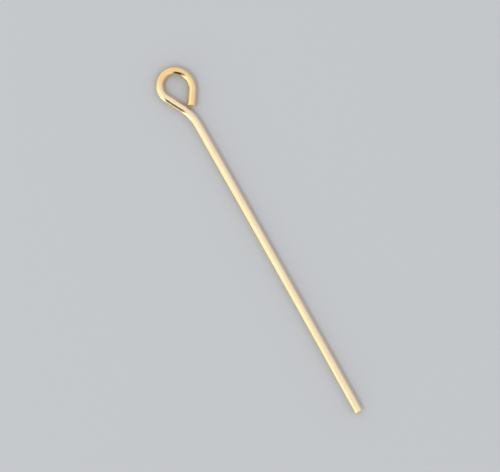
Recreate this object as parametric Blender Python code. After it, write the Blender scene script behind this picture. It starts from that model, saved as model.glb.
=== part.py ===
"""Eye pin: one length of plated wire with a straight shank, a cranked neck and a curled eye.

Run it with: blender --background --python part.py

The pin lies flat. The origin is the centre of the shank's cut face, +X runs along the shank
towards the eye, +Y is the side that the neck cranks towards, and +Z is up, square to the
plane of the eye. The whole pin is bent from a single piece of round wire, so it is one object.
"""

from math import ceil, cos, radians, sin

import bmesh
import bpy
from mathutils import Matrix, Vector

MM = 0.001

# Driving dimensions of the finished pin.
WIRE_DIAMETER = 0.70 * MM
OVERALL_LENGTH = 30.0 * MM
EYE_OUTER_DIAMETER = 3.0 * MM

# The shank keeps a very slight bow from the coil that its wire came off.
SHANK_BOW = radians(0.7)

# The neck cranks one way, so that the eye comes to sit over the shank's line.
NECK_BEND_RADIUS = 3.5 * MM
NECK_BEND = radians(27.5)
NECK_LENGTH = 1.50 * MM

# The eye curls the other way: tight round the forming pin, then a little more open.
EYE_CURL = radians(172.0)
OPENING_RADIUS = 1.50 * MM
OPENING_CURL = radians(69.0)
LEG_LENGTH = 1.10 * MM

# Both ends are cut square, with the corner just broken.
CUT_CORNER = 0.04 * MM

# How finely the round surfaces are divided.
SIDES = 32
SHANK_STEPS = 4
BEND_STEP = radians(6.0)
CORNER_SEGMENTS = 3
SHARP_ANGLE = radians(50.0)

PLATING_COLOR = (0.95, 0.77, 0.47, 1.0)
PLATING_ROUGHNESS = 0.16

WIRE_RADIUS = WIRE_DIAMETER / 2
EYE_RADIUS = (EYE_OUTER_DIAMETER - WIRE_DIAMETER) / 2
UP = Vector((0.0, 0.0, 1.0))


class Place:
    """A point on the wire's centre line, and the way that the wire runs there."""

    def __init__(self, point, heading):
        self.point = point
        self.heading = heading

    def forward(self):
        return Vector((cos(self.heading), sin(self.heading), 0.0))

    def left(self):
        return UP.cross(self.forward())

    def bend_centre(self, radius, turn):
        return self.point + self.left() * (radius if turn > 0 else -radius)

    def after_straight(self, length):
        return Place(self.point + self.forward() * length, self.heading)

    def after_bend(self, radius, turn):
        centre = self.bend_centre(radius, turn)
        swung = Matrix.Rotation(turn, 3, UP) @ (self.point - centre)
        return Place(centre + swung, self.heading + turn)


def clear_scene():
    for obj in list(bpy.data.objects):
        bpy.data.objects.remove(obj, do_unlink=True)


def shank_length():
    """The shank that gives the overall length, once the neck and the eye have taken theirs."""
    eye_start = (
        Place(Vector(), SHANK_BOW)
        .after_bend(NECK_BEND_RADIUS, NECK_BEND)
        .after_straight(NECK_LENGTH)
    )
    eye_centre = eye_start.bend_centre(EYE_RADIUS, -EYE_CURL)
    chord = OVERALL_LENGTH - eye_centre.x - EYE_OUTER_DIAMETER / 2
    return chord * SHANK_BOW / sin(SHANK_BOW)


def round_section(bm):
    """The wire's cut face: a disc at the origin, square to the wire's first heading."""
    square_to_x = Matrix.Rotation(radians(90.0), 4, "Y")
    bmesh.ops.create_circle(
        bm, cap_ends=True, radius=WIRE_RADIUS, segments=SIDES, matrix=square_to_x
    )
    return next(iter(bm.faces))


def run_straight(bm, section, place, length):
    """Extrudes the section straight ahead, and returns the new section."""
    grown = bmesh.ops.extrude_face_region(bm, geom=[section])["geom"]
    verts = [item for item in grown if isinstance(item, bmesh.types.BMVert)]
    bmesh.ops.translate(bm, verts=verts, vec=place.forward() * length)
    return next(item for item in grown if isinstance(item, bmesh.types.BMFace))


def run_bend(bm, section, place, radius, turn, steps):
    """Spins the section round the bend's centre, and returns the new section."""
    spun = bmesh.ops.spin(
        bm,
        geom=[section],
        cent=place.bend_centre(radius, turn),
        axis=UP,
        angle=turn,
        steps=steps,
    )["geom_last"]
    return next(item for item in spun if isinstance(item, bmesh.types.BMFace))


def bend_wire(bm):
    """Feeds the wire through the shank, neck, eye and leg, and returns its two cut faces."""
    curves = (
        (shank_length() / SHANK_BOW, SHANK_BOW, SHANK_STEPS, 0.0),
        (NECK_BEND_RADIUS, NECK_BEND, ceil(NECK_BEND / BEND_STEP), NECK_LENGTH),
        (EYE_RADIUS, -EYE_CURL, ceil(EYE_CURL / BEND_STEP), 0.0),
        (OPENING_RADIUS, -OPENING_CURL, ceil(OPENING_CURL / BEND_STEP), LEG_LENGTH),
    )
    place = Place(Vector(), 0.0)
    sections = [round_section(bm)]
    for radius, turn, steps, straight in curves:
        sections.append(run_bend(bm, sections[-1], place, radius, turn, steps))
        place = place.after_bend(radius, turn)
        if straight:
            sections.append(run_straight(bm, sections[-1], place, straight))
            place = place.after_straight(straight)
    # Extruding leaves each section that it starts from inside the wire.
    bmesh.ops.delete(bm, geom=sections[1:-1], context="FACES_ONLY")
    return sections[0], sections[-1]


def break_corners(bm, faces):
    edges = [edge for face in faces for edge in face.edges]
    bmesh.ops.bevel(
        bm,
        geom=edges,
        offset=CUT_CORNER,
        segments=CORNER_SEGMENTS,
        profile=0.5,
        affect="EDGES",
    )


def plated_wire_material():
    material = bpy.data.materials.new("pale_gold_plated_wire")
    material.use_nodes = True
    surface = material.node_tree.nodes["Principled BSDF"]
    surface.inputs["Base Color"].default_value = PLATING_COLOR
    surface.inputs["Metallic"].default_value = 1.0
    surface.inputs["Roughness"].default_value = PLATING_ROUGHNESS
    return material


def make_eye_pin():
    bm = bmesh.new()
    cut_faces = bend_wire(bm)
    break_corners(bm, cut_faces)
    bmesh.ops.recalc_face_normals(bm, faces=bm.faces[:])
    mesh = bpy.data.meshes.new("eye_pin_wire")
    bm.to_mesh(mesh)
    bm.free()
    mesh.shade_smooth()
    mesh.set_sharp_from_angle(angle=SHARP_ANGLE)
    mesh.materials.append(plated_wire_material())
    pin = bpy.data.objects.new("eye_pin_wire", mesh)
    bpy.context.scene.collection.objects.link(pin)


clear_scene()
make_eye_pin()
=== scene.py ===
"""The looks of the eye pin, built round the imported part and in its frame.

The pin is one length of drawn wire, plated pale gold. This script follows its bends at a fine
step, gives its surface the marks of drawing, straightening, bending and shearing, and lays it
on a plain pale floor under a soft studio sky. The pin's length and thickness come from the
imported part's box. Distances along the wire start at the shank's cut face. Angles round the wire
start at its left side and go up over its top.
"""

from math import ceil, cos, pi, radians, sin, sqrt

import bpy
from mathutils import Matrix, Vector, noise


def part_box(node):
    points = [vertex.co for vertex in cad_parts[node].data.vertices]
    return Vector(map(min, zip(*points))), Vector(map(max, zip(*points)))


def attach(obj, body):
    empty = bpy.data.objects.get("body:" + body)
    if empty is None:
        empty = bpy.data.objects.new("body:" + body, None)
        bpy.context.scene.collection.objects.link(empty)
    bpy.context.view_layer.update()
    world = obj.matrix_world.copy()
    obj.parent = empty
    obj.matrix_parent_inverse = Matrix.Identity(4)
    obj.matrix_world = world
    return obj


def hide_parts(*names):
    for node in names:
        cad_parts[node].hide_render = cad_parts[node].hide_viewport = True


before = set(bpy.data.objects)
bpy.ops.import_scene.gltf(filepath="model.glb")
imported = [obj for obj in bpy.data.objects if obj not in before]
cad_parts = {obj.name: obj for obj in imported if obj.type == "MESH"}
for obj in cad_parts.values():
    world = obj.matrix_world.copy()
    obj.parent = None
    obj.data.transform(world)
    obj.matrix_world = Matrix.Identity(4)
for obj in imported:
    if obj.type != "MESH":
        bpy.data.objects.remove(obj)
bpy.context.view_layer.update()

MM = 0.001
NODE = "eye_pin_wire"
UP = Vector((0.0, 0.0, 1.0))

# The wire's size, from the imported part.
NODE_LOW, NODE_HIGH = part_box(NODE)
WIRE_RADIUS = (NODE_HIGH.z - NODE_LOW.z) / 2
OVERALL_LENGTH = NODE_HIGH.x - NODE_LOW.x

# The wire's bends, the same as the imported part's. A left turn is positive.
SHANK_BOW = radians(0.7)
NECK_BEND_RADIUS = 3.5 * MM
NECK_BEND = radians(27.5)
NECK_LENGTH = 1.50 * MM
EYE_OUTER_RADIUS = 1.50 * MM
EYE_RADIUS = EYE_OUTER_RADIUS - WIRE_RADIUS
EYE_CURL = radians(172.0)
OPENING_RADIUS = 1.50 * MM
OPENING_CURL = radians(69.0)
LEG_LENGTH = 1.10 * MM

# Wire won't go from straight to bent at once. Each bend eases in and out over about this far.
BEND_EASE = 0.25 * MM

# Bending flattens the wire a little across each bend.
BEND_FLATTENING = 0.025

# The forming tool leaves a shallow mark on the eye's upper inner side, where the curl opens out.
# Along the wire it deepens, stays deep and fades. Round the wire it spreads from its middle angle.
MARK_DEPTH = 0.030 * MM
MARK_START = 31.92 * MM
MARK_DEEP_FROM = 32.54 * MM
MARK_DEEP_TO = 32.60 * MM
MARK_END = 33.50 * MM
MARK_MIDDLE = radians(150.0)
MARK_DEEP_SPREAD = radians(20.0)
MARK_SPREAD = radians(65.0)

# How finely the mesh is divided.
SIDES = 96
SHANK_STEP = 0.10 * MM
BENT_STEP = 0.045 * MM
FACE_RINGS = 22

# The straightening rollers leave a soft, uneven waviness.
WAVE_DEPTH = 0.0016 * MM
WAVE_LENGTH = 1.4 * MM
WAVES_ROUND = 1.3

# A shear's blade rounds the rim where it enters, slides through half the face and tears the rest.
SHANK_BLADE_ANGLE = radians(180.0)
SHANK_ENTRY_RIM = 0.120 * MM
SHANK_EXIT_RIM = 0.050 * MM
LEG_BLADE_ANGLE = radians(60.0)
LEG_ENTRY_RIM = 0.060 * MM
LEG_EXIT_RIM = 0.030 * MM
FACE_END = 0.13 * MM

# Where the tear starts, how sharply, how its edge wanders, and where it fades: in wire radii.
TEAR_START = -0.11
TEAR_EDGE = 0.06
TEAR_WANDER = 0.12
TEAR_WANDERS = 3.0
TEAR_FADE_START = 0.80

# The torn part lies lower than the rest, and its ragged heights are a fractal noise.
TORN_DEPTH = 0.022 * MM
TORN_HEIGHTS = 0.007 * MM
TORN_GRAIN = 0.045 * MM
TORN_FALL_OFF = 1.0
TORN_FINENESS = 2.0
TORN_OCTAVES = 3

# Out to this share of its radius, a cut face looks sheared. Beyond it, the rim looks drawn.
SHEARED_SHARE = 0.84

# The plating's colours. The eye end is painted a deeper gold than the shank: painted shade, standing in
# for the brighter light that falls on the shank.
PALE_GOLD = (0.97, 0.85, 0.62, 1.0)
WARM_GOLD = (0.95, 0.81, 0.56, 1.0)
EYE_END_SHADE_GOLD = (0.90, 0.67, 0.33, 1.0)
SCUFFED_GOLD = (0.90, 0.74, 0.50, 1.0)
# Die lines are painted a darker gold: painted shade in their grooves.
DIE_LINE_SHADE_GOLD = (0.78, 0.61, 0.38, 1.0)
SHEARED_GOLD = (0.96, 0.80, 0.54, 1.0)
TORN_GOLD = (0.88, 0.69, 0.43, 1.0)
# From here to there along the wire the plating is painted a deeper gold, as painted shade.
EYE_END_SHADE_FROM = 28.3 * MM
EYE_END_SHADE_TO = 30.3 * MM

# The surface's fine marks: how many fit in one wire radius, and how deep the raised ones are.
WIDE_LINES = 4.5
WIDE_LINE_DEPTH = 0.0022 * MM
FINE_LINES = 16.0
FINE_LINE_DEPTH = 0.0012 * MM
ORANGE_PEEL = 9.0
ORANGE_PEEL_DEPTH = 0.0018 * MM
BLADE_LINES = 18.0
BLADE_LINE_DEPTH = 0.0040 * MM
TORN_GRAINS = 11.0
TORN_GRAIN_DEPTH = 0.0050 * MM
# The die lines are drawn only as darker colour, with no bump: painted shade in their grooves.
SHADED_DIE_LINES = 20.0
PATCHES = 1.1
SCUFFS = 3.2

# How many finer layers each kind's noise has, and how strongly each one shows.
WIDE_LINE_DETAIL = (2.0, 0.5)
FINE_LINE_DETAIL = (3.0, 0.6)
SHADED_DIE_LINE_DETAIL = (2.0, 0.6)
PATCH_DETAIL = (3.0, 0.5)
SCUFF_DETAIL = (4.0, 0.65)
ORANGE_PEEL_DETAIL = (2.0, 0.5)
BLADE_LINE_DETAIL = (3.0, 0.6)
TORN_DETAIL = (4.0, 0.7)

# How each kind of mark is squeezed or drawn out: across the wire, up through it and along it.
LINE_SHAPE = (1.0, 1.0, 0.012)
PATCH_SHAPE = (1.0, 1.0, 0.22)
SCUFF_SHAPE = (0.35, 1.0, 2.6)
BLADE_SHAPE = (0.15, 1.0, 0.0)

# Where each kind of mark begins and is full, in its noise, and the share of its colour it shows.
PATCH_RANGE = (0.30, 0.70)
SCUFF_RANGE = (0.66, 0.74)
SCUFF_TINT = 0.35
# The die lines' painted shade: where it begins and is full, and the share of its colour that shows.
SHADED_DIE_LINE_RANGE = (0.58, 0.70)
DIE_LINE_SHADE_SHARE = 0.35
# How much of the eye end's painted shade shows.
EYE_END_SHADE_SHARE = 0.68

# The orange peel comes in as a bend tightens, from the first share of the eye's to the second.
WORKED_FROM = 0.6
WORKED_TO = 1.0

# How rough the polished and the drawn metal is, and what the other marks add.
POLISHED_ROUGHNESS = 0.06
DRAWN_ROUGHNESS = 0.13
DRAWN_RANGE = (0.30, 0.70)
PATCH_DULLING = 0.05
WORK_DULLING = 0.04
SCUFF_DULLING = 0.12
SLID_ROUGHNESS = 0.16
TORN_ROUGHNESS = 0.34

# The floor and the backdrop are one plain pale grey, and meet without a horizon.
FLOOR_COLOR = (0.54, 0.56, 0.59, 1.0)
BACKDROP_COLOR = (0.545, 0.563, 0.592, 1.0)
FLOOR_RADIUS = 3.0
FLOOR_SIDES = 96
FADE_START = 0.06
FADE_END = 0.30

# The camera looks straight down. In its picture the shank's heading is this far round from the right.
SHANK_IN_VIEW = radians(118.95)
VIEW_CENTRE = Vector((15.71, 0.77, 0.0)) * MM
VIEW_WIDTH = 38.02 * MM
LENS_MM = 200.0
SENSOR_MM = 36.0

# The colours that the metal reflects, and the strength of the even light on the floor.
SKY = (0.93, 0.92, 0.90, 1.0)
PINK_SIDE = (0.95, 0.82, 0.84, 1.0)
CREAM_SIDE = (0.92, 0.86, 0.72, 1.0)
SIDE_GLOW = (1.35, 1.06, 0.72, 1.0)
KEY_SKY = (1.22, 1.18, 0.90, 1.0)
HORIZON = (0.58, 0.55, 0.52, 1.0)
LOW_GLOW = (1.45, 1.24, 0.86, 1.0)
WINDOW = (2.3, 2.1, 1.65, 1.0)
FLAG = (0.020, 0.012, 0.006, 1.0)
FILL_STRENGTH = 0.87

# Stretches of the sky, each laid over the ones before it: colour, then in degrees the middle and
# half-width of its azimuth and of its zenith angle, and how softly it ends. Azimuths are in the
# picture, and a half-width of 200 goes all the way round.
SKY_ZONES = (
    (PINK_SIDE, 25.0, 75.0, 62.0, 38.0, 18.0),
    (CREAM_SIDE, 130.0, 50.0, 50.0, 50.0, 20.0),
    (SIDE_GLOW, 125.0, 24.0, 52.0, 10.0, 16.0),
    (KEY_SKY, 205.0, 42.0, 26.0, 24.0, 10.0),
    (FLAG, 228.0, 8.0, 21.0, 7.0, 3.0),
    (HORIZON, 0.0, 200.0, 90.0, 15.0, 15.0),
    (LOW_GLOW, 205.0, 20.0, 77.0, 14.0, 6.0),
    (WINDOW, 225.5, 7.0, 62.0, 33.0, 2.0),
    (FLAG, 234.5, 6.5, 42.0, 21.0, 2.0),
    (FLAG, 255.0, 18.0, 61.0, 27.0, 3.0),
)

# The key light, for the soft shadow. Its azimuth is in the picture.
KEY_AZIMUTH = radians(195.0)
KEY_ZENITH = radians(25.0)
KEY_DISTANCE = 0.45
KEY_SIZE = 0.16
KEY_WATTS = 0.33


def smooth(value, low, high):
    """0 at low, 1 at high, and a smooth ease between them."""
    share = min(1.0, max(0.0, (value - low) / (high - low)))
    return share * share * (3.0 - 2.0 * share)


class Station:
    """A place on the wire's centre line: its heading, the length run so far, and its bend.

    The bend is the turn per length, as a share of the eye's tight curl.
    """

    def __init__(self, point, heading, run, bend):
        self.point = point
        self.heading = heading
        self.run = run
        self.bend = bend

    def forward(self):
        return Vector((cos(self.heading), sin(self.heading), 0.0))

    def left(self):
        return UP.cross(self.forward())

    def advance(self, length, turn):
        """The next place, along an arc that turns that much, or straight ahead."""
        half = turn / 2
        chord = length * (sin(half) / half if half else 1.0)
        middle = self.heading + half
        ahead = Vector((cos(middle), sin(middle), 0.0)) * chord
        bend = turn / length * EYE_RADIUS
        return Station(self.point + ahead, self.heading + turn, self.run + length, bend)

    def at(self, angle, out, forward=0.0):
        """A point at that angle round the wire, so far out from its centre line."""
        across = self.left() * cos(angle) + UP * sin(angle)
        return self.point + across * out + self.forward() * forward


def shank_length():
    """The shank that gives the overall length, once the neck and the eye have taken theirs."""
    neck_start = Station(Vector(), SHANK_BOW, 0.0, 0.0)
    neck_end = neck_start.advance(NECK_BEND_RADIUS * NECK_BEND, NECK_BEND)
    eye_start = neck_end.advance(NECK_LENGTH, 0.0)
    eye_centre = eye_start.point - eye_start.left() * EYE_RADIUS
    chord = OVERALL_LENGTH - eye_centre.x - EYE_OUTER_RADIUS
    return chord * SHANK_BOW / sin(SHANK_BOW)


def even_steps():
    """The shank, neck, eye and leg in short steps, each as its length and its turn."""
    stretches = (
        (shank_length(), SHANK_BOW, SHANK_STEP),
        (NECK_BEND_RADIUS * NECK_BEND, NECK_BEND, BENT_STEP),
        (NECK_LENGTH, 0.0, BENT_STEP),
        (EYE_RADIUS * EYE_CURL, -EYE_CURL, BENT_STEP),
        (OPENING_RADIUS * OPENING_CURL, -OPENING_CURL, BENT_STEP),
        (LEG_LENGTH, 0.0, BENT_STEP),
    )
    steps = []
    for length, turn, step in stretches:
        count = ceil(length / step)
        steps += [(length / count, turn / count)] * count
    return steps


def eased_turns(steps):
    """Each step's turn, once the bends ease in and out. The turns still add up to the same."""
    middles = []
    run = 0.0
    for length, _ in steps:
        middles.append(run + length / 2)
        run += length
    turns = [0.0] * len(steps)
    for (_, turn), middle in zip(steps, middles):
        shares = []
        for (length, _), other in zip(steps, middles):
            shares.append(length * max(0.0, 1.0 - abs(other - middle) / BEND_EASE))
        whole = sum(shares)
        for index, share in enumerate(shares):
            if share > 0.0:
                turns[index] += turn * share / whole
    return turns


def centre_line():
    """The wire's stations, from one cut face to the other."""
    steps = even_steps()
    stations = [Station(Vector(), 0.0, 0.0, 0.0)]
    for (length, _), turn in zip(steps, eased_turns(steps)):
        stations.append(stations[-1].advance(length, turn))
    return stations


def ring_angles():
    return [2 * pi * side / SIDES for side in range(SIDES)]


class Ring:
    """A ring of points round the wire. Out is how far out it lies, in wire radii."""

    def __init__(self, station, out, points, torn):
        self.station = station
        self.out = out
        self.points = points
        self.torn = torn


class CutFace:
    """A sheared end: the way it faces, where its blade came from, and how round its rim is."""

    def __init__(self, station, facing, blade_angle, entry_rim, exit_rim):
        self.station = station
        self.facing = facing
        self.blade_angle = blade_angle
        self.entry_rim = entry_rim
        self.exit_rim = exit_rim

    def torn(self, angle, out):
        """0 where the blade slid through, and 1 where the metal tore ahead of it."""
        ahead = out * cos(angle - self.blade_angle)
        side = out * sin(angle - self.blade_angle)
        wander = TEAR_WANDER * noise.noise(Vector((TEAR_WANDERS * side, self.blade_angle, 0.0)))
        edge = TEAR_START + wander
        return 1.0 - smooth(ahead, edge - TEAR_EDGE, edge + TEAR_EDGE)

    def depth(self, angle, out):
        """How far the face lies behind its own plane there."""
        entry = (1.0 + cos(angle - self.blade_angle)) / 2
        rounding = self.exit_rim + (self.entry_rim - self.exit_rim) * entry
        into_rim = max(0.0, rounding - (1.0 - out) * WIRE_RADIUS)
        rounded = rounding - sqrt(max(0.0, rounding**2 - into_rim**2))
        torn = self.torn(angle, out) * (1.0 - smooth(out, TEAR_FADE_START, 1.0))
        spot = Vector((cos(angle), sin(angle), 0.0)) * (out * WIRE_RADIUS / TORN_GRAIN)
        ragged = noise.fractal(spot, TORN_FALL_OFF, TORN_FINENESS, TORN_OCTAVES)
        return rounded + torn * (TORN_DEPTH + TORN_HEIGHTS * ragged)

    def middle(self):
        return self.station.at(0.0, 0.0, -self.facing * self.depth(0.0, 0.0))

    def ring(self, share):
        """One ring of the face, from its middle at share 0 to its rim at share 1."""
        out = sin(share * pi / 2)
        points = []
        torn = []
        for angle in ring_angles():
            back = self.depth(angle, out)
            points.append(self.station.at(angle, out * WIRE_RADIUS, -self.facing * back))
            torn.append(self.torn(angle, out))
        return Ring(self.station, out, points, torn)


def tool_mark(angle, run):
    """How deep the forming tool's mark is there."""
    along = smooth(run, MARK_START, MARK_DEEP_FROM) * (1.0 - smooth(run, MARK_DEEP_TO, MARK_END))
    around = 1.0 - smooth(abs(angle - MARK_MIDDLE), MARK_DEEP_SPREAD, MARK_SPREAD)
    return MARK_DEPTH * along * around


def body_ring(station):
    """A ring of the wire's side, flattened across a bend, with the rollers' waves and the mark."""
    flattening = BEND_FLATTENING * min(1.0, abs(station.bend))
    points = []
    for angle in ring_angles():
        spot = (cos(angle) * WAVES_ROUND, sin(angle) * WAVES_ROUND, station.run / WAVE_LENGTH)
        wave = WAVE_DEPTH * noise.noise(Vector(spot))
        out = WIRE_RADIUS * (1.0 - flattening * abs(cos(angle))) + wave
        points.append(station.at(angle, out - tool_mark(angle, station.run)))
    return Ring(station, 1.0, points, [0.0] * SIDES)


def wire_rings(stations, first_face, last_face):
    """Every ring in order, from the middle of one cut face to the middle of the other."""
    shares = [(index + 1) / FACE_RINGS for index in range(FACE_RINGS)]
    body_end = stations[-1].run - FACE_END
    rings = [first_face.ring(share) for share in shares]
    rings += [body_ring(station) for station in stations if FACE_END < station.run < body_end]
    rings += [last_face.ring(share) for share in reversed(shares)]
    return rings


def join_rings(mesh, rings, first_face, last_face):
    """Joins the rings with quads, and closes each cut face on its middle point."""
    points = [point for ring in rings for point in ring.points]
    first_middle = len(points)
    last_middle = first_middle + 1
    last_start = first_middle - SIDES
    faces = []
    sheared = []
    for index in range(len(rings) - 1):
        on_face = max(rings[index].out, rings[index + 1].out) < SHEARED_SHARE
        for side in range(SIDES):
            near = index * SIDES + side
            beside = index * SIDES + (side + 1) % SIDES
            faces.append((near, beside, beside + SIDES, near + SIDES))
            sheared.append(1 if on_face else 0)
    for side in range(SIDES):
        beside = (side + 1) % SIDES
        faces.append((first_middle, beside, side))
        faces.append((last_middle, last_start + side, last_start + beside))
        sheared += [1, 1]
    mesh.from_pydata(points + [first_face.middle(), last_face.middle()], [], faces)
    mesh.shade_smooth()
    mesh.materials.append(plated_wire_material())
    mesh.materials.append(sheared_end_material())
    mesh.polygons.foreach_set("material_index", sheared)


def store_places(mesh, rings, first_face, last_face):
    """Stores each point's place round and along the wire, in wire radii, its bend and its tear."""
    places = []
    bends = []
    tears = []
    for ring in rings:
        for angle in ring_angles():
            places += (cos(angle) * ring.out, sin(angle) * ring.out, ring.station.run / WIRE_RADIUS)
            bends.append(abs(ring.station.bend))
        tears += ring.torn
    for face in (first_face, last_face):
        places += (0.0, 0.0, face.station.run / WIRE_RADIUS)
        bends.append(0.0)
        tears.append(face.torn(0.0, 0.0))
    mesh.attributes.new("wire_place", "FLOAT_VECTOR", "POINT").data.foreach_set("vector", places)
    mesh.attributes.new("wire_bend", "FLOAT", "POINT").data.foreach_set("value", bends)
    mesh.attributes.new("wire_torn", "FLOAT", "POINT").data.foreach_set("value", tears)


def make_wire():
    """The whole pin: one piece on the part's one body, in place of its plain solid."""
    stations = centre_line()
    first_face = CutFace(stations[0], -1.0, SHANK_BLADE_ANGLE, SHANK_ENTRY_RIM, SHANK_EXIT_RIM)
    last_face = CutFace(stations[-1], 1.0, LEG_BLADE_ANGLE, LEG_ENTRY_RIM, LEG_EXIT_RIM)
    rings = wire_rings(stations, first_face, last_face)
    mesh = bpy.data.meshes.new("plated_wire")
    join_rings(mesh, rings, first_face, last_face)
    store_places(mesh, rings, first_face, last_face)
    wire = bpy.data.objects.new("plated_wire", mesh)
    bpy.context.scene.collection.objects.link(wire)
    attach(wire, "root")
    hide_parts(NODE)


class Nodes:
    """Adds shader nodes to a material or a world. An input is a value or another node's output."""

    def __init__(self, owner):
        owner.use_nodes = True
        self.tree = owner.node_tree
        self.tree.nodes.clear()

    def add(self, kind, inputs=None, **settings):
        node = self.tree.nodes.new("ShaderNode" + kind)
        for name, value in settings.items():
            setattr(node, name, value)
        for name, value in (inputs or {}).items():
            socket = node.inputs[name]
            if isinstance(value, bpy.types.NodeSocket):
                self.tree.links.new(value, socket)
            else:
                socket.default_value = value
        return node

    def attribute(self, name, output):
        return self.add("Attribute", attribute_name=name).outputs[output]

    def math(self, operation, first, second=0.0):
        return self.add("Math", {0: first, 1: second}, operation=operation).outputs[0]

    def vector(self, operation, first, second=(0.0, 0.0, 0.0)):
        node = self.add("VectorMath", {0: first, 1: second}, operation=operation)
        return node.outputs["Value" if operation in ("DOT_PRODUCT", "LENGTH") else "Vector"]

    def height(self, vector):
        return self.add("SeparateXYZ", {0: vector}).outputs["Z"]

    def ramp(self, value, low, high, at_low=0.0, at_high=1.0):
        """Eases from at_low to at_high as value goes from low to high."""
        inputs = {"Value": value, "From Min": low, "From Max": high, "To Min": at_low, "To Max": at_high}
        return self.add("MapRange", inputs, interpolation_type="SMOOTHSTEP").outputs["Result"]

    def mix(self, factor, first, second):
        """Mixes two colours. The node's sockets 6 and 7, and its output 2, are the ones for colours."""
        return self.add("Mix", {0: factor, 6: first, 7: second}, data_type="RGBA").outputs[2]

    def mix_shaders(self, factor, first, second):
        return self.add("MixShader", {0: factor, 1: first, 2: second}).outputs[0]

    def noise(self, where, scale, detail, roughness):
        inputs = {"Vector": where, "Scale": scale, "Detail": detail, "Roughness": roughness}
        return self.add("TexNoise", inputs).outputs["Fac"]

    def bump(self, height, depth, normal=None):
        inputs = {"Height": height, "Distance": depth, "Strength": 1.0}
        if normal:
            inputs["Normal"] = normal
        return self.add("Bump", inputs).outputs["Normal"]

    def metal(self, color, roughness, normal):
        inputs = {"Base Color": color, "Metallic": 1.0, "Roughness": roughness, "Normal": normal}
        return self.add("BsdfPrincipled", inputs).outputs["BSDF"]

    def background(self, color, strength=1.0):
        return self.add("Background", {"Color": color, "Strength": strength}).outputs[0]

    def finish(self, kind, shader):
        self.add("Output" + kind, {"Surface": shader})


def plated_wire_material():
    """Pale gold over drawn wire: lines along it, faint scuffs, an orange peel on tight bends, and
    painted shade on the eye end and in the die lines.
    """
    material = bpy.data.materials.new("pale_gold_plating")
    nodes = Nodes(material)
    place = nodes.attribute("wire_place", "Vector")
    worked = nodes.ramp(nodes.attribute("wire_bend", "Fac"), WORKED_FROM, WORKED_TO)

    lines = nodes.vector("MULTIPLY", place, LINE_SHAPE)
    wide_lines = nodes.noise(lines, WIDE_LINES, *WIDE_LINE_DETAIL)
    fine_lines = nodes.noise(lines, FINE_LINES, *FINE_LINE_DETAIL)
    # Die lines, darkened as painted shade in their grooves.
    die_line_shade = nodes.noise(lines, SHADED_DIE_LINES, *SHADED_DIE_LINE_DETAIL)
    die_line_shade = nodes.ramp(die_line_shade, *SHADED_DIE_LINE_RANGE)
    patches = nodes.vector("MULTIPLY", place, PATCH_SHAPE)
    patches = nodes.noise(patches, PATCHES, *PATCH_DETAIL)
    scuffs = nodes.vector("MULTIPLY", place, SCUFF_SHAPE)
    scuffs = nodes.noise(scuffs, SCUFFS, *SCUFF_DETAIL)
    scuffs = nodes.ramp(scuffs, *SCUFF_RANGE)
    orange_peel = nodes.noise(place, ORANGE_PEEL, *ORANGE_PEEL_DETAIL)
    orange_peel = nodes.math("MULTIPLY", orange_peel, worked)

    # Painted shade: the eye end is drawn a deeper gold than the shank.
    eye_end_shade_span = (EYE_END_SHADE_FROM / WIRE_RADIUS, EYE_END_SHADE_TO / WIRE_RADIUS)
    eye_end_shade = nodes.ramp(nodes.height(place), *eye_end_shade_span, 0.0, EYE_END_SHADE_SHARE)
    color = nodes.mix(nodes.ramp(patches, *PATCH_RANGE), PALE_GOLD, WARM_GOLD)
    color = nodes.mix(eye_end_shade, color, EYE_END_SHADE_GOLD)
    color = nodes.mix(nodes.math("MULTIPLY", scuffs, SCUFF_TINT), color, SCUFFED_GOLD)
    color = nodes.mix(nodes.math("MULTIPLY", die_line_shade, DIE_LINE_SHADE_SHARE), color, DIE_LINE_SHADE_GOLD)

    roughness = nodes.ramp(fine_lines, *DRAWN_RANGE, POLISHED_ROUGHNESS, DRAWN_ROUGHNESS)
    for mark, dulling in ((patches, PATCH_DULLING), (worked, WORK_DULLING), (scuffs, SCUFF_DULLING)):
        roughness = nodes.math("ADD", roughness, nodes.math("MULTIPLY", mark, dulling))

    normal = nodes.bump(wide_lines, WIDE_LINE_DEPTH)
    normal = nodes.bump(fine_lines, FINE_LINE_DEPTH, normal)
    normal = nodes.bump(orange_peel, ORANGE_PEEL_DEPTH, normal)
    nodes.finish("Material", nodes.metal(color, roughness, normal))
    return material


def sheared_end_material():
    """A sheared, then plated face: bright lines where the blade slid, dull grain where it tore."""
    material = bpy.data.materials.new("sheared_end")
    nodes = Nodes(material)
    place = nodes.attribute("wire_place", "Vector")
    torn = nodes.attribute("wire_torn", "Fac")
    slid = nodes.math("SUBTRACT", 1.0, torn)
    blade_lines = nodes.vector("MULTIPLY", place, BLADE_SHAPE)
    blade_lines = nodes.noise(blade_lines, BLADE_LINES, *BLADE_LINE_DETAIL)
    blade_lines = nodes.math("MULTIPLY", blade_lines, slid)
    grain = nodes.noise(place, TORN_GRAINS, *TORN_DETAIL)
    grain = nodes.math("MULTIPLY", grain, torn)
    color = nodes.mix(grain, SHEARED_GOLD, TORN_GOLD)
    roughness = nodes.ramp(torn, 0.0, 1.0, SLID_ROUGHNESS, TORN_ROUGHNESS)
    normal = nodes.bump(blade_lines, BLADE_LINE_DEPTH)
    normal = nodes.bump(grain, TORN_GRAIN_DEPTH, normal)
    nodes.finish("Material", nodes.metal(color, roughness, normal))
    return material


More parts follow.
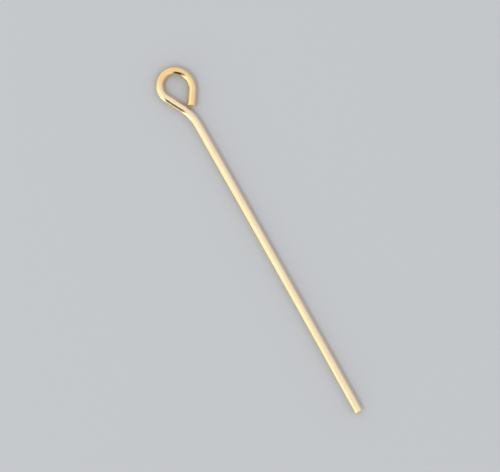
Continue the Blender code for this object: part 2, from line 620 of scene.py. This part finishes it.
def floor_material():
    """Plain and matt. It fades into the backdrop, so that no horizon shows from the side."""
    material = bpy.data.materials.new("plain_pale_floor")
    nodes = Nodes(material)
    place = nodes.add("NewGeometry").outputs["Position"]
    faded = nodes.ramp(nodes.vector("LENGTH", place), FADE_START, FADE_END)
    matt = nodes.add("BsdfDiffuse", {"Color": FLOOR_COLOR}).outputs[0]
    backdrop = nodes.add("Emission", {"Color": BACKDROP_COLOR}).outputs[0]
    nodes.finish("Material", nodes.mix_shaders(faded, matt, backdrop))
    return material


def make_floor():
    """A wide round floor that the wire's lowest waves just touch."""
    height = NODE_LOW.z - WAVE_DEPTH
    rim = []
    for side in range(FLOOR_SIDES):
        angle = 2 * pi * side / FLOOR_SIDES
        rim.append((FLOOR_RADIUS * cos(angle), FLOOR_RADIUS * sin(angle), height))
    mesh = bpy.data.meshes.new("floor")
    mesh.from_pydata(rim, [], [range(FLOOR_SIDES)])
    mesh.materials.append(floor_material())
    floor = bpy.data.objects.new("floor", mesh)
    bpy.context.scene.collection.objects.link(floor)


def towards(azimuth, zenith):
    """The direction in the frame of a place in the sky, from its azimuth in the picture."""
    turned = azimuth - SHANK_IN_VIEW
    return Vector((cos(turned) * sin(zenith), sin(turned) * sin(zenith), cos(zenith)))


def sky_zone(nodes, direction, azimuth, half_width, zenith, half_height, softness):
    """1 inside a stretch of the sky, and 0 outside it."""
    level = nodes.vector("NORMALIZE", nodes.vector("MULTIPLY", direction, (1.0, 1.0, 0.0)))
    aside = nodes.math("ARCCOSINE", nodes.vector("DOT_PRODUCT", level, towards(azimuth, pi / 2)))
    down = nodes.math("ARCCOSINE", nodes.height(direction))
    above = nodes.math("ABSOLUTE", nodes.math("SUBTRACT", down, zenith))
    across = nodes.ramp(aside, half_width + softness, half_width - softness)
    along = nodes.ramp(above, half_height + softness, half_height - softness)
    return nodes.math("MULTIPLY", across, along)


def make_sky():
    """The metal reflects the sky's zones, the floor gets even light and the camera sees the backdrop."""
    world = bpy.data.worlds.new("studio")
    bpy.context.scene.world = world
    nodes = Nodes(world)
    direction = nodes.add("TexCoord").outputs["Generated"]
    color = SKY
    for zone_color, *degrees in SKY_ZONES:
        inside = sky_zone(nodes, direction, *map(radians, degrees))
        color = nodes.mix(inside, color, zone_color)
    rays = nodes.add("LightPath").outputs
    even_light = nodes.background((1.0, 1.0, 1.0, 1.0), FILL_STRENGTH)
    lit = nodes.mix_shaders(rays["Is Diffuse Ray"], nodes.background(color), even_light)
    seen = nodes.mix_shaders(rays["Is Camera Ray"], lit, nodes.background(BACKDROP_COLOR))
    nodes.finish("World", seen)


def make_key_light():
    """A round softbox, high and to one side. The metal sees the sky's bright patch in its place."""
    data = bpy.data.lights.new("key_softbox", "AREA")
    data.shape = "DISK"
    data.size = KEY_SIZE
    data.energy = KEY_WATTS
    light = bpy.data.objects.new("key_softbox", data)
    direction = towards(KEY_AZIMUTH, KEY_ZENITH)
    light.location = VIEW_CENTRE + direction * KEY_DISTANCE
    light.rotation_euler = direction.to_track_quat("Z", "Y").to_euler()
    light.visible_glossy = False
    light.visible_camera = False
    bpy.context.scene.collection.objects.link(light)


def make_camera():
    """Looks straight down, turned so that the shank leans up and to the left."""
    data = bpy.data.cameras.new("camera")
    data.lens = LENS_MM
    data.sensor_width = SENSOR_MM
    data.clip_start = 1.0 * MM
    camera = bpy.data.objects.new("camera", data)
    camera.location = VIEW_CENTRE + UP * (VIEW_WIDTH * LENS_MM / SENSOR_MM)
    camera.rotation_euler = (0.0, 0.0, -SHANK_IN_VIEW)
    bpy.context.scene.collection.objects.link(camera)
    bpy.context.scene.camera = camera


make_wire()
make_floor()
make_sky()
make_key_light()
make_camera()
bpy.context.scene.view_settings.view_transform = "Standard"
